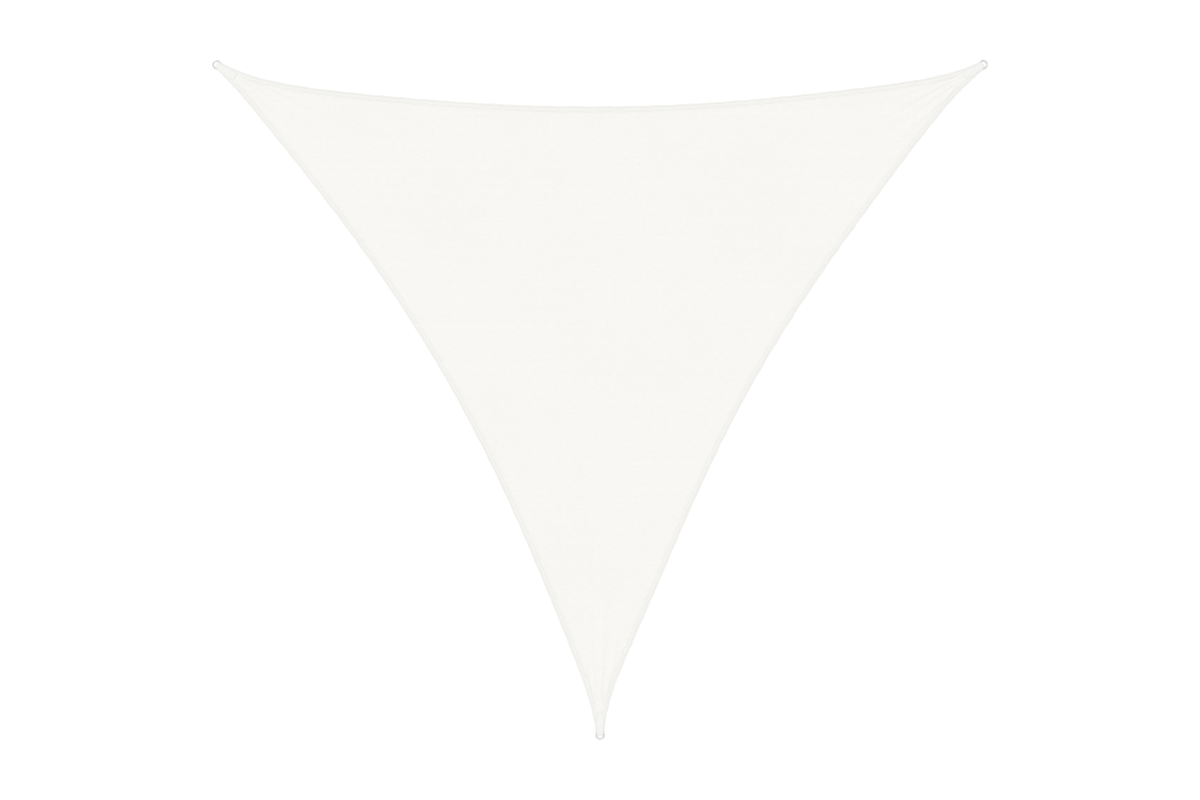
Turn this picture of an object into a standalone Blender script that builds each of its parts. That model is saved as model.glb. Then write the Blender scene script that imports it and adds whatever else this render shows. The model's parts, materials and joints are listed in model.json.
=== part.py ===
"""Triangular shade sail laid out flat: a hemmed cloth, three webbing loops and three D-rings.

Metres, +Z up.  The origin is on the ground, under the middle of the bounding box.  +X runs along
the line between the two upper rings, and the third ring points along -Y.
"""
import math
from collections import namedtuple

import bmesh
import bpy
from mathutils import Matrix, Vector

# The three eyes, each the centre of a ring's hole.  The upper rings reach a little further past
# their eyes than the bottom ring does, so the eyes sit that much lower than the box's middle.
EYE_SPAN = 3.567
EYE_DROP = 3.1206
EYE_SHIFT = -0.00164

# Cloth: one layer of knitted fabric, a folded and sewn hem, and a corner of several layers
FIELD_THICKNESS = 0.0012
HEM_THICKNESS = 0.0026
CORNER_THICKNESS = 0.0032
HEM_WIDTH = 0.027
HEM_STEP = 0.003
HEM_SHARE_AT_TIP = 0.62
TIP_SETBACK = 0.019
TIP_HALF_WIDTH = 0.0195
CORNER_FLAT_REACH = 0.118
CORNER_FADE_REACH = 0.175

# Webbing loop: a strap around the ring's straight leg, sewn above and below the cloth
STRAP_WIDTH = 0.030
STRAP_THICKNESS = 0.0015
STRAP_TAIL = 0.098
STRAP_EASE = 0.016
GAP = 0.0003

# D-ring: round wire, its straight leg inside the strap and its bow outward
WIRE_RADIUS = 0.003
RING_INNER_WIDTH = 0.032
RING_INNER_HEIGHT = 0.018
RING_BEND_RADIUS = 0.004
RING_SIDES = 8
BOW_STEPS = 19
BEND_STEPS = 4

# How finely the cloth is divided, in each of its three corner patches
ROWS = 28
FIELD_COLUMNS = 10
ROW_CROWDING = 0.4

Corner = namedtuple("Corner", "name eye_x eye_y heading")
CORNERS = (
    Corner("left", -EYE_SPAN / 2, EYE_SHIFT + EYE_DROP / 2, math.radians(-34)),
    Corner("bottom", 0.0, EYE_SHIFT - EYE_DROP / 2, math.radians(90)),
    Corner("right", EYE_SPAN / 2, EYE_SHIFT + EYE_DROP / 2, math.radians(-148)),
)

# Each edge hangs in from its chord: a parabola (sag), a fuller middle (belly), and a tuck at
# each end, which is deepest at its reach from the corner
Edge = namedtuple("Edge", "name sag belly tuck_a reach_a tuck_b reach_b")
EDGES = (
    Edge("left_edge", 0.172, 0.036, 0.007, 0.15, 0.018, 0.22),
    Edge("right_edge", 0.101, 0.100, 0.036, 0.25, 0.033, 0.34),
    Edge("top_edge", 0.179, 0.021, 0.024, 0.25, 0.038, 0.31),
)

# Gathers that run out of each corner: their bearing from the corner's middle line and half
# width in degrees, their height, and how far from the eye they peak and end
Pleat = namedtuple("Pleat", "corner bearing half_width height peak reach")
PLEATS = (
    Pleat("left", -11.0, 3.4, 0.0032, 0.20, 0.55),
    Pleat("left", -4.0, 3.8, 0.0053, 0.22, 0.80),
    Pleat("left", 3.5, 3.2, 0.0037, 0.19, 0.60),
    Pleat("left", 10.5, 3.6, 0.0047, 0.24, 0.70),
    Pleat("bottom", -9.5, 3.6, 0.0043, 0.22, 0.65),
    Pleat("bottom", -1.5, 3.6, 0.0056, 0.20, 0.85),
    Pleat("bottom", 6.0, 3.2, 0.0035, 0.21, 0.50),
    Pleat("bottom", 12.0, 3.0, 0.0028, 0.23, 0.60),
    Pleat("right", -12.0, 3.2, 0.0028, 0.21, 0.50),
    Pleat("right", -5.5, 3.4, 0.0043, 0.23, 0.70),
    Pleat("right", 1.0, 3.4, 0.0038, 0.19, 0.60),
    Pleat("right", 8.5, 3.8, 0.0052, 0.22, 0.75),
)

STRAP_REACH = RING_INNER_HEIGHT / 2 + WIRE_RADIUS
WRAP_RADIUS = WIRE_RADIUS + GAP + STRAP_THICKNESS / 2
LEG_HEIGHT = WRAP_RADIUS + STRAP_THICKNESS / 2
CORNER_UNDERSIDE = STRAP_THICKNESS + GAP
FACET_TURN = math.pi / RING_SIDES


def smooth_step(low, high, value):
    """Rise smoothly from 0 at low to 1 at high."""
    share = min(max((value - low) / (high - low), 0.0), 1.0)
    return share * share * (3 - 2 * share)


def corner_axes(corner):
    """Return a corner's eye, the direction into the sail and the direction across it."""
    eye = Vector((corner.eye_x, corner.eye_y, 0.0))
    inward = Vector((math.cos(corner.heading), math.sin(corner.heading), 0.0))
    across = Vector((-inward.y, inward.x, 0.0))
    return eye, inward, across


def tip_point(corner, side):
    """Return the end of an edge at a corner's blunt tip, side +1 or -1."""
    eye, inward, across = corner_axes(corner)
    return eye + inward * TIP_SETBACK + across * (side * TIP_HALF_WIDTH)


def sail_centre():
    """Return the point where the three patches of cloth meet."""
    eyes = [corner_axes(corner)[0] for corner in CORNERS]
    return (eyes[0] + eyes[1] + eyes[2]) / 3


def tuck(depth, reach, distance):
    """Return how far a corner's tuck draws its edge in, at a distance from the corner."""
    share = distance / reach
    return depth * share * math.exp(1 - share)


def edge_point(index, along):
    """Return a point on an edge, at a share of the way along its chord."""
    edge = EDGES[index]
    start = tip_point(CORNERS[index], -1)
    chord = tip_point(CORNERS[(index + 1) % 3], 1) - start
    inward = Vector((-chord.y, chord.x, 0.0)).normalized()
    arch = 4 * along * (1 - along)
    depth = edge.sag * arch + edge.belly * arch ** 2
    depth += tuck(edge.tuck_a, edge.reach_a, along * chord.length)
    depth += tuck(edge.tuck_b, edge.reach_b, (1 - along) * chord.length)
    return start + chord * along + inward * depth


def edge_inward(index, along):
    """Return the unit direction square to an edge, into the cloth."""
    step = 0.001
    tangent = edge_point(index, along + step) - edge_point(index, along - step)
    return Vector((-tangent.y, tangent.x, 0.0)).normalized()


def row_share(row):
    """Return how far a row is from the tip to the patch's far side, rows crowding to the tip."""
    share = row / ROWS
    return share * (ROW_CROWDING + (1 - ROW_CROWDING) * share ** 2)


def half_row(index, along, middle):
    """Return the points of half a row, from the edge over the hem to the middle line."""
    rim = edge_point(index, along)
    inward = edge_inward(index, along)
    room = HEM_SHARE_AT_TIP * (middle - rim).length
    hem = min(HEM_WIDTH, room)
    step = min(HEM_STEP, room / 4)
    inner = rim + inward * (hem + step)
    points = [rim, rim + inward * hem]
    points += [inner.lerp(middle, column / FIELD_COLUMNS) for column in range(FIELD_COLUMNS + 1)]
    return points


def patch_row(corner_index, row):
    """Return one row of a corner's patch, from edge to edge around the corner."""
    share = row_share(row)
    before = (corner_index - 1) % 3
    rim_a = edge_point(corner_index, share / 2)
    rim_b = edge_point(before, 1 - share / 2)
    far_a = edge_point(corner_index, 0.5)
    far_b = edge_point(before, 0.5)
    push = sail_centre() - (far_a + far_b) / 2
    middle = (rim_a + rim_b) / 2 + push * share ** 2
    side_a = half_row(corner_index, share / 2, middle)
    side_b = half_row(before, 1 - share / 2, middle)
    return side_a + side_b[-2::-1]


def underside_height(point):
    """Return how far the cloth's underside is above the ground."""
    height = 0.0
    for corner in CORNERS:
        eye, inward, across = corner_axes(corner)
        offset = point - eye
        distance = offset.length
        height += CORNER_UNDERSIDE * (1 - smooth_step(CORNER_FLAT_REACH, CORNER_FADE_REACH, distance))
        bearing = math.degrees(math.atan2(offset.dot(across), offset.dot(inward)))
        for pleat in PLEATS:
            if pleat.corner == corner.name:
                height += pleat_height(pleat, distance, bearing)
    return height


def pleat_height(pleat, distance, bearing):
    """Return a pleat's height at a distance from its eye and a bearing off the middle line."""
    turn = abs(bearing - pleat.bearing) / pleat.half_width
    if turn >= 1:
        return 0.0
    rise = smooth_step(CORNER_FLAT_REACH, pleat.peak, distance)
    fall = 1 - smooth_step(pleat.peak, pleat.reach, distance)
    return pleat.height * rise * fall * (1 + math.cos(math.pi * turn)) / 2


def cloth_thickness(point, column, columns):
    """Return the cloth's thickness: thick at the corners, then hem, then field."""
    in_hem = column <= 1 or column >= columns - 2
    thickness = HEM_THICKNESS if in_hem else FIELD_THICKNESS
    distance = min((point - corner_axes(corner)[0]).length for corner in CORNERS)
    corner_share = 1 - smooth_step(CORNER_FLAT_REACH, CORNER_FADE_REACH, distance)
    return thickness + (CORNER_THICKNESS - thickness) * corner_share


def add_patch(mesh, thickness_layer, corner_index):
    """Add one corner's patch to the cloth's mesh as a grid laid over its rows."""
    columns = 2 * (FIELD_COLUMNS + 2) + 1
    grid = bmesh.ops.create_grid(mesh, x_segments=columns - 1, y_segments=ROWS, size=1.0)
    ordered = sorted(grid["verts"], key=lambda vert: (round(vert.co.y, 4), vert.co.x))
    for row in range(ROWS + 1):
        points = patch_row(corner_index, row)
        for column, point in enumerate(points):
            vert = ordered[row * columns + column]
            vert.co = Vector((point.x, point.y, underside_height(point)))
            thickness = cloth_thickness(point, column, columns)
            vert[thickness_layer][0] = thickness / CORNER_THICKNESS


def make_cloth(material):
    """Make the hemmed cloth from its underside, thickened upward."""
    mesh = bmesh.new()
    thickness_layer = mesh.verts.layers.deform.verify()
    for corner_index in range(3):
        add_patch(mesh, thickness_layer, corner_index)
    bmesh.ops.remove_doubles(mesh, verts=mesh.verts, dist=0.00005)
    bmesh.ops.recalc_face_normals(mesh, faces=mesh.faces)
    data = bpy.data.meshes.new("sail_cloth")
    mesh.to_mesh(data)
    mesh.free()
    data.shade_smooth()
    data.materials.append(material)
    cloth = bpy.data.objects.new("sail_cloth", data)
    cloth.vertex_groups.new(name="thickness")
    shell = cloth.modifiers.new("Thickness", "SOLIDIFY")
    shell.thickness = CORNER_THICKNESS
    shell.offset = 1
    shell.vertex_group = "thickness"
    return cloth


def strap_line():
    """Return the strap's middle line in the upright plane, as (inward, up) from the leg."""
    tail_height = CORNER_UNDERSIDE + CORNER_THICKNESS + GAP + STRAP_THICKNESS / 2
    low = STRAP_THICKNESS / 2
    top = LEG_HEIGHT + WRAP_RADIUS
    line = [(STRAP_TAIL, low), (STRAP_EASE, low)]
    wrap_steps = 10
    for step in range(wrap_steps + 1):
        turn = math.pi * step / wrap_steps
        line.append((-WRAP_RADIUS * math.sin(turn), LEG_HEIGHT - WRAP_RADIUS * math.cos(turn)))
    ease_steps = 6
    for step in range(1, ease_steps + 1):
        share = step / ease_steps
        drop = smooth_step(0, 1, share)
        line.append((STRAP_EASE * share, top + (tail_height - top) * drop))
    line.append((STRAP_TAIL, tail_height))
    return [Vector(point) for point in line]


def strap_outline():
    """Return the strap's closed side outline, half its thickness each way from its line."""
    line = strap_line()
    sides = ([], [])
    for index, point in enumerate(line):
        before = line[max(index - 1, 0)]
        after = line[min(index + 1, len(line) - 1)]
        along = (after - before).normalized()
        offset = Vector((-along.y, along.x)) * (STRAP_THICKNESS / 2)
        sides[0].append(point + offset)
        sides[1].append(point - offset)
    return sides[0] + sides[1][::-1]


def make_loop(corner, material):
    """Make one webbing loop as its side outline, as wide as the strap."""
    eye, inward, across = corner_axes(corner)
    name = f"webbing_{corner.name}"
    curve = bpy.data.curves.new(name, "CURVE")
    curve.dimensions = "2D"
    curve.fill_mode = "BOTH"
    curve.extrude = STRAP_WIDTH / 2
    outline = strap_outline()
    spline = curve.splines.new("POLY")
    spline.points.add(len(outline) - 1)
    for spline_point, point in zip(spline.points, outline):
        spline_point.co = (point.x, point.y, 0.0, 1.0)
    spline.use_cyclic_u = True
    curve.materials.append(material)
    loop = bpy.data.objects.new(name, curve)
    axes = Matrix((inward, Vector((0, 0, 1)), -across)).transposed().to_4x4()
    loop.matrix_world = Matrix.Translation(eye + inward * STRAP_REACH) @ axes
    return loop


def ring_line():
    """Return the ring's wire line in its own plane: x toward the leg, y across it."""
    side = RING_INNER_WIDTH / 2 + WIRE_RADIUS
    bow_centre = RING_INNER_WIDTH / 2 - RING_INNER_HEIGHT / 2
    points = []
    for step in range(BEND_STEPS + 1):
        turn = math.radians(90) * step / BEND_STEPS
        x = STRAP_REACH - RING_BEND_RADIUS * (1 - math.cos(turn))
        y = side - RING_BEND_RADIUS * (1 - math.sin(turn))
        points.append((x, y))
    for step in range(BOW_STEPS + 1):
        turn = math.radians(180) * step / BOW_STEPS
        points.append((bow_centre - side * math.sin(turn), side * math.cos(turn)))
    for x, y in points[BEND_STEPS::-1]:
        points.append((x, -y))
    return points


def make_ring(corner, material):
    """Make one D-ring as a closed wire with a flat of its section facing the eye."""
    eye, inward, across = corner_axes(corner)
    name = f"d_ring_{corner.name}"
    curve = bpy.data.curves.new(name, "CURVE")
    curve.dimensions = "3D"
    curve.twist_mode = "Z_UP"
    curve.bevel_depth = WIRE_RADIUS
    curve.bevel_resolution = 2
    points = ring_line()
    spline = curve.splines.new("POLY")
    spline.points.add(len(points) - 1)
    for spline_point, (x, y) in zip(spline.points, points):
        spline_point.co = (x, y, 0.0, 1.0)
        spline_point.tilt = FACET_TURN
    spline.use_cyclic_u = True
    spline.use_smooth = True
    curve.materials.append(material)
    ring = bpy.data.objects.new(name, curve)
    # The bow rests on the ground and the leg is held up in the strap, so the ring leans
    bow_height = WIRE_RADIUS * math.cos(FACET_TURN)
    lean = math.asin((LEG_HEIGHT - bow_height) / (2 * STRAP_REACH))
    lift = WIRE_RADIUS * math.cos(FACET_TURN - lean) - bow_height
    axes = Matrix((inward, across, Vector((0, 0, 1)))).transposed().to_4x4()
    place = Vector((eye.x, eye.y, (LEG_HEIGHT + bow_height) / 2 + lift))
    ring.matrix_world = Matrix.Translation(place) @ axes @ Matrix.Rotation(-lean, 4, "Y")
    return ring


def make_material(name, colour, roughness, metallic=0.0):
    """Make a plain Principled material."""
    material = bpy.data.materials.new(name)
    material.use_nodes = True
    shader = material.node_tree.nodes["Principled BSDF"]
    shader.inputs["Base Color"].default_value = (*colour, 1.0)
    shader.inputs["Roughness"].default_value = roughness
    shader.inputs["Metallic"].default_value = metallic
    material.diffuse_color = (*colour, 1.0)
    return material


def clear_scene():
    """Remove every object that the file opened with."""
    for item in list(bpy.data.objects):
        bpy.data.objects.remove(item, do_unlink=True)


def main():
    """Build the whole sail in a collection of its own."""
    clear_scene()
    sail = bpy.data.collections.new("shade_sail")
    bpy.context.scene.collection.children.link(sail)
    cloth_white = make_material("knitted_cloth_white", (0.93, 0.92, 0.90), 0.85)
    webbing_grey = make_material("webbing_light_grey", (0.78, 0.79, 0.80), 0.8)
    steel = make_material("stainless_steel", (0.62, 0.62, 0.61), 0.3, 1.0)
    sail.objects.link(make_cloth(cloth_white))
    for corner in CORNERS:
        sail.objects.link(make_loop(corner, webbing_grey))
        sail.objects.link(make_ring(corner, steel))


if __name__ == "__main__":
    main()
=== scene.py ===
"""Shade sail laid out flat: its knitted cloth, hem stitching, webbing loops and wire rings.

Metres, +Z up, in the frame of the packed solids.  Run as a script, it builds the pieces, the
ground, the light and the camera.
"""
import json
import math
from collections import namedtuple

import bmesh
import bpy
import numpy as np
from bpy.props import FloatProperty, FloatVectorProperty, IntProperty, PointerProperty
from mathutils import Matrix, Vector


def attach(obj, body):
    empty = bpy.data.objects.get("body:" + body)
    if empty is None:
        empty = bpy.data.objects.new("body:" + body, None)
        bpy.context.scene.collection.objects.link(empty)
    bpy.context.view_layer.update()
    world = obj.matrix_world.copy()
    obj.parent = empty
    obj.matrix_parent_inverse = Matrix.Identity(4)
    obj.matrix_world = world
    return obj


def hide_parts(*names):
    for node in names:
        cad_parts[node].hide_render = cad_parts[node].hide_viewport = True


bl_info = {
    "name": "Shade sail",
    "version": (1, 0, 0),
    "blender": (4, 5, 0),
    "location": "View3D > Sidebar > Sail",
    "description": "Builds a triangular shade sail with stitched hems, webbing loops and rings",
    "category": "Add Mesh",
}

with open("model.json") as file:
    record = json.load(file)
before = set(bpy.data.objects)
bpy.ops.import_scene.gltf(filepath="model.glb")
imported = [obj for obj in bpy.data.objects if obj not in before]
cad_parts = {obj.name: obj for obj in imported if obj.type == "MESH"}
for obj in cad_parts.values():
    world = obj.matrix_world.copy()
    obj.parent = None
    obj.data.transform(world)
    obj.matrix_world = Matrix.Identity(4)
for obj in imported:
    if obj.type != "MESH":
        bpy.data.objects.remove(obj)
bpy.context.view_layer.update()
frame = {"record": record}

# ---------------------------------------------------------------- outline and corners

Corner = namedtuple("Corner", "name eye inward across")
CORNER_NAMES = ("left", "bottom", "right")

# From a ring's mount, on the inside of its bow, to the middle of its eye
EYE_TO_BOW_FLAT = 0.00914

# Each edge hangs in from its chord: a parabola (sag), a fuller middle (belly), and a tuck at
# each end, which is deepest at its reach from the corner
Edge = namedtuple("Edge", "name sag belly tuck_a reach_a tuck_b reach_b")
EDGES = (
    Edge("left", 0.172, 0.036, 0.007, 0.15, 0.018, 0.22),
    Edge("right", 0.101, 0.100, 0.036, 0.25, 0.033, 0.34),
    Edge("top", 0.179, 0.021, 0.024, 0.25, 0.038, 0.31),
)
TIP_SETBACK = 0.019
TIP_HALF_WIDTH = 0.0195
HEM_SHARE_AT_TIP = 0.62

# Gathers that run out of each corner: bearing from the corner's middle line and half width in
# degrees, height, and how far from the eye they start, peak and end.  The first rows of each
# corner are the solids' own folds, the rest are finer creases between them.
PLEATS = {
    "left": (
        (-11.0, 3.4, 0.0032, 0.118, 0.20, 0.55),
        (-4.0, 3.8, 0.0053, 0.118, 0.22, 0.80),
        (3.5, 3.2, 0.0037, 0.118, 0.19, 0.60),
        (10.5, 3.6, 0.0047, 0.118, 0.24, 0.70),
        (-7.4, 1.3, 0.0016, 0.120, 0.17, 0.34),
        (-0.4, 1.5, 0.0020, 0.120, 0.16, 0.42),
        (7.0, 1.4, 0.0018, 0.120, 0.18, 0.36),
        (14.2, 1.8, 0.0014, 0.125, 0.21, 0.48),
    ),
    "bottom": (
        (-9.5, 3.6, 0.0043, 0.118, 0.22, 0.65),
        (-1.5, 3.6, 0.0056, 0.118, 0.20, 0.85),
        (6.0, 3.2, 0.0035, 0.118, 0.21, 0.50),
        (12.0, 3.0, 0.0028, 0.118, 0.23, 0.60),
        (-5.6, 1.5, 0.0019, 0.120, 0.16, 0.40),
        (2.4, 1.4, 0.0017, 0.120, 0.18, 0.33),
        (9.0, 1.3, 0.0015, 0.120, 0.17, 0.38),
        (-13.6, 1.7, 0.0013, 0.125, 0.20, 0.44),
    ),
    "right": (
        (-12.0, 3.2, 0.0028, 0.118, 0.21, 0.50),
        (-5.5, 3.4, 0.0043, 0.118, 0.23, 0.70),
        (1.0, 3.4, 0.0038, 0.118, 0.19, 0.60),
        (8.5, 3.8, 0.0052, 0.118, 0.22, 0.75),
        (-8.8, 1.3, 0.0016, 0.120, 0.17, 0.37),
        (-2.2, 1.5, 0.0019, 0.120, 0.16, 0.41),
        (4.7, 1.4, 0.0018, 0.120, 0.18, 0.35),
        (12.8, 1.8, 0.0014, 0.125, 0.21, 0.46),
    ),
}

# Short creases around each strap, as straight lines in the corner's frame: both ends as inward
# and across from the eye, half width, and height, which is below 0 where the cloth is drawn down
CREASES = {
    "left": (
        (0.028, 0.0172, 0.150, 0.0270, 0.0021, -0.00055),
        (0.034, -0.0170, 0.132, -0.0245, 0.0020, -0.00050),
        (0.050, 0.0225, 0.185, 0.0400, 0.0026, 0.00075),
        (0.044, -0.0215, 0.170, -0.0370, 0.0024, 0.00065),
        (0.113, 0.0040, 0.215, 0.0125, 0.0030, 0.00120),
        (0.114, -0.0065, 0.235, -0.0080, 0.0033, 0.00110),
        (0.111, 0.0120, 0.190, 0.0260, 0.0026, -0.00060),
    ),
    "bottom": (
        (0.030, 0.0170, 0.140, 0.0255, 0.0021, -0.00060),
        (0.028, -0.0172, 0.155, -0.0265, 0.0022, -0.00060),
        (0.046, 0.0220, 0.180, 0.0385, 0.0025, 0.00080),
        (0.052, -0.0220, 0.190, -0.0400, 0.0026, 0.00080),
        (0.112, 0.0070, 0.240, 0.0165, 0.0030, 0.00130),
        (0.112, -0.0070, 0.225, -0.0145, 0.0030, 0.00130),
        (0.113, 0.0000, 0.190, 0.0015, 0.0026, -0.00070),
    ),
    "right": (
        (0.032, 0.0170, 0.145, 0.0250, 0.0021, -0.00050),
        (0.030, -0.0172, 0.138, -0.0260, 0.0021, -0.00055),
        (0.048, 0.0215, 0.175, 0.0380, 0.0025, 0.00070),
        (0.045, -0.0220, 0.188, -0.0405, 0.0026, 0.00075),
        (0.113, 0.0055, 0.232, 0.0075, 0.0031, 0.00110),
        (0.112, -0.0050, 0.205, -0.0150, 0.0029, 0.00120),
        (0.111, -0.0125, 0.186, -0.0260, 0.0026, -0.00060),
    ),
}

# Long soft rises that the pull of the corners leaves in the cloth: both ends of the crest,
# how wide the rise is to each side, and its height
SWELLS = (
    (-1.20, 1.18, -0.30, 0.62, 0.085, 0.0022),
    (-1.28, 1.02, -0.62, 0.35, 0.070, 0.0016),
    (1.16, 1.16, 0.34, 0.70, 0.090, 0.0020),
    (1.22, 0.98, 0.70, 0.42, 0.065, 0.0015),
    (-0.03, -1.02, -0.12, -0.15, 0.080, 0.0021),
    (0.10, -0.90, 0.26, -0.30, 0.070, 0.0014),
    (-0.45, 1.16, 0.52, 1.13, 0.075, 0.0012),
)
CREST_FULLNESS = 0.7

# Puckers that the hem's stitching draws into the cloth: wave length along the edge, height,
# where the wave starts, and how far it drifts
Pucker = namedtuple("Pucker", "wave height phase drift")
PUCKERS = (
    Pucker(0.061, 0.00045, 0.4, 0.90),
    Pucker(0.093, 0.00055, 2.1, 1.30),
    Pucker(0.170, 0.00060, 4.0, 2.10),
)
PUCKER_DRIFT_RATE = 5.3
PUCKER_EDGE_STEP = 1.7
PUCKER_REACH = 0.13
PUCKER_SHARE_OF_ROOM = 0.9
PUCKER_AT_RIM = 0.45

# ---------------------------------------------------------------- cloth

# A corner's sewn layers, and how far from the eye they begin to thin out and end
CORNER_THICKNESS = 0.0032
CORNER_REACH = (0.118, 0.175)
ROWS = 168
ROW_CROWDING = 0.85
TIP_ROWS = (0.0, 0.0001, 0.0004, 0.0009, 0.0016, 0.003)
FIRST_ROW = 0.006
HEM_WIDTH = 0.027
HEM_STEP = (HEM_WIDTH + 0.0001, HEM_WIDTH + 0.0011)
HEM_COLUMNS = (
    0.0, 0.00012, 0.0004, 0.0009, 0.0015, 0.0030, 0.0055, 0.0074, 0.0085, 0.0096, 0.0120,
    0.0160, 0.0197, 0.0215, 0.0233, 0.0257, 0.0268, 0.0273, 0.0281, 0.0300,
)
FIELD_COLUMNS = 20
CLOTH_WELD = 0.000004

# The rim's slow wander: its depth and wave length, how far and how fast it drifts, and where
# it starts and is full, from the nearer end of the edge
RIM_RIPPLE = 0.0007
RIM_WAVE = 0.118
RIM_DRIFT = 1.7
RIM_DRIFT_RATE = 4.1
RIM_REACH = (0.02, 0.25)

# The hem's two sewn lines: how far in from the rim, how deep and wide each draws it down, and
# its painted shade.  On the underside the thread lies flat in a groove, so that it never stands
# proud.
HemLine = namedtuple("HemLine", "offset depth half_width shade")
HEM_LINES = (
    HemLine(0.0085, 0.0005, 0.0018, 0.915),
    HemLine(0.0215, 0.0003, 0.0014, 0.985),
)
UNDER_LINE_DEPTH = 0.00035
UNDER_LINE_HALF_WIDTH = 0.0008

# ---------------------------------------------------------------- strap and ring

STRAP_THICKNESS = 0.0015
STRAP_TAIL = 0.098
STRAP_EASE = 0.016
STRAP_STEP = 0.0008
WRAP_POINTS = 20
EASE_POINTS = 21
STRAP_COLUMNS = 65
COLUMN_CROWDING = 0.9
SELVEDGE_SQUARENESS = 12
HOLLOW_OF_WEAVE = 0.35
STRAP_WELD = 0.000002
GAP = 0.0003
WIRE_RADIUS = 0.003
RING_INNER_WIDTH = 0.032
RING_INNER_HEIGHT = 0.018
RING_BEND_RADIUS = 0.004
BEND_POINTS = 9
LEG_POINTS = 14
ARM_POINTS = 4
WIRE_SIDES_OF_SOLID = 8
STRAP_REACH = RING_INNER_HEIGHT / 2 + WIRE_RADIUS
WRAP_RADIUS = WIRE_RADIUS + GAP + STRAP_THICKNESS / 2
LEG_HEIGHT = WRAP_RADIUS + STRAP_THICKNESS / 2
CORNER_UNDERSIDE = STRAP_THICKNESS + GAP
TAIL_LEVEL = CORNER_UNDERSIDE + CORNER_THICKNESS + GAP + STRAP_THICKNESS / 2

# The bead of the ring's weld: its turn round the bow, its half length, and its lumps
WELD_TURN = math.radians(24)
WELD_HALF_LENGTH = 0.0013
WELD_LUMPS = 3
WELD_LUMP_DEPTH = 0.2
WELD_LUMP_START = 0.6

# The sewn box on each tail: its ends from the ring's leg, and half its width
BOX_NEAR = 0.027
BOX_FAR = 0.091
BOX_HALF_WIDTH = 0.0095
BOX_LINE_DEPTH = 0.00022
BOX_LINE_WIDTH = 0.0010


class SailCloth(bpy.types.PropertyGroup):
    """Sizes and colours of the cloth."""

    field_thickness: FloatProperty(
        name="Field thickness", description="One layer of the knitted cloth",
        default=0.0012, unit="LENGTH")
    hem_thickness: FloatProperty(
        name="Hem thickness", description="The folded and sewn edge",
        default=0.0026, unit="LENGTH")
    wale: FloatProperty(
        name="Wale width", description="From one chain of the knit to the next",
        default=0.0034, unit="LENGTH")
    course: FloatProperty(
        name="Course height", description="From one row of the knit to the next",
        default=0.0024, unit="LENGTH")
    field_colour: FloatVectorProperty(
        name="Field colour", description="One layer of cloth on the ground",
        default=(0.8415, 0.8325, 0.8120), size=3, subtype="COLOR")
    hem_colour: FloatVectorProperty(
        name="Hem colour", description="Folded cloth along the edges",
        default=(0.8265, 0.8215, 0.7985), size=3, subtype="COLOR")


class SailThread(bpy.types.PropertyGroup):
    """Sizes and colour of the sewing thread."""

    pitch: FloatProperty(
        name="Stitch pitch", description="From one stitch of the hem to the next",
        default=0.0046, unit="LENGTH")
    length: FloatProperty(
        name="Stitch length", description="What shows of one stitch of the hem",
        default=0.0039, unit="LENGTH")
    width: FloatProperty(
        name="Thread width", description="Thickness of the sewing thread",
        default=0.0008, unit="LENGTH")
    box_pitch: FloatProperty(
        name="Box pitch", description="From one stitch to the next on the webbing",
        default=0.0031, unit="LENGTH")
    colour: FloatVectorProperty(
        name="Thread colour", description="Bonded polyester thread",
        default=(0.76, 0.76, 0.75), size=3, subtype="COLOR")


class SailWebbing(bpy.types.PropertyGroup):
    """Sizes and colour of the webbing loops."""

    width: FloatProperty(
        name="Width", description="Width of the strap", default=0.030, unit="LENGTH")
    rib: FloatProperty(
        name="Rib", description="Width of one warp rib of the weave",
        default=0.001875, unit="LENGTH")
    pick: FloatProperty(
        name="Pick", description="Length of one turn of the weave along the strap",
        default=0.0034, unit="LENGTH")
    relief: FloatProperty(
        name="Relief", description="Height of the weave's ribs",
        default=0.00014, unit="LENGTH")
    colour: FloatVectorProperty(
        name="Webbing colour", description="Woven polyester",
        default=(0.893, 0.893, 0.877), size=3, subtype="COLOR")


class SailRing(bpy.types.PropertyGroup):
    """Finish and fineness of the rings."""

    sides: IntProperty(
        name="Sides", description="Faces around the wire", default=24, min=8)
    bow_steps: IntProperty(
        name="Bow steps", description="Lengths of wire around the bow", default=64, min=16)
    weld_rise: FloatProperty(
        name="Weld rise", description="How far the weld stands out of the wire",
        default=0.00035, unit="LENGTH")
    colour: FloatVectorProperty(
        name="Steel colour", description="Stainless steel",
        default=(0.66, 0.66, 0.655), size=3, subtype="COLOR")
    roughness: FloatProperty(
        name="Roughness", description="Polish of the steel", default=0.26, subtype="FACTOR")


class SailStage(bpy.types.PropertyGroup):
    """Ground, light and camera."""

    view_width: FloatProperty(
        name="View width", description="What the picture's width covers on the ground",
        default=5.568, unit="LENGTH")
    lens: FloatProperty(
        name="Lens", description="Focal length in millimetres", default=85.0)
    ground_size: FloatProperty(
        name="Ground size", description="Side of the square ground",
        default=240.0, unit="LENGTH")
    ground_colour: FloatVectorProperty(
        name="Ground colour", description="Plain pale floor",
        default=(0.97, 0.97, 0.97), size=3, subtype="COLOR")
    ground_glow: FloatProperty(
        name="Ground glow", description="Light that the floor gives off, to soften shadows",
        default=0.04)
    sky_light: FloatProperty(
        name="Sky light", description="Strength of the light from all round", default=1.03)
    sun_light: FloatProperty(
        name="Key light", description="Strength of the light from the upper left",
        default=0.42)


# ---------------------------------------------------------------- small helpers


def smooth_step(low, high, value):
    """Rise smoothly from 0 at low to 1 at high."""
    share = np.clip((value - low) / (high - low), 0.0, 1.0)
    return share * share * (3 - 2 * share)


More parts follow.
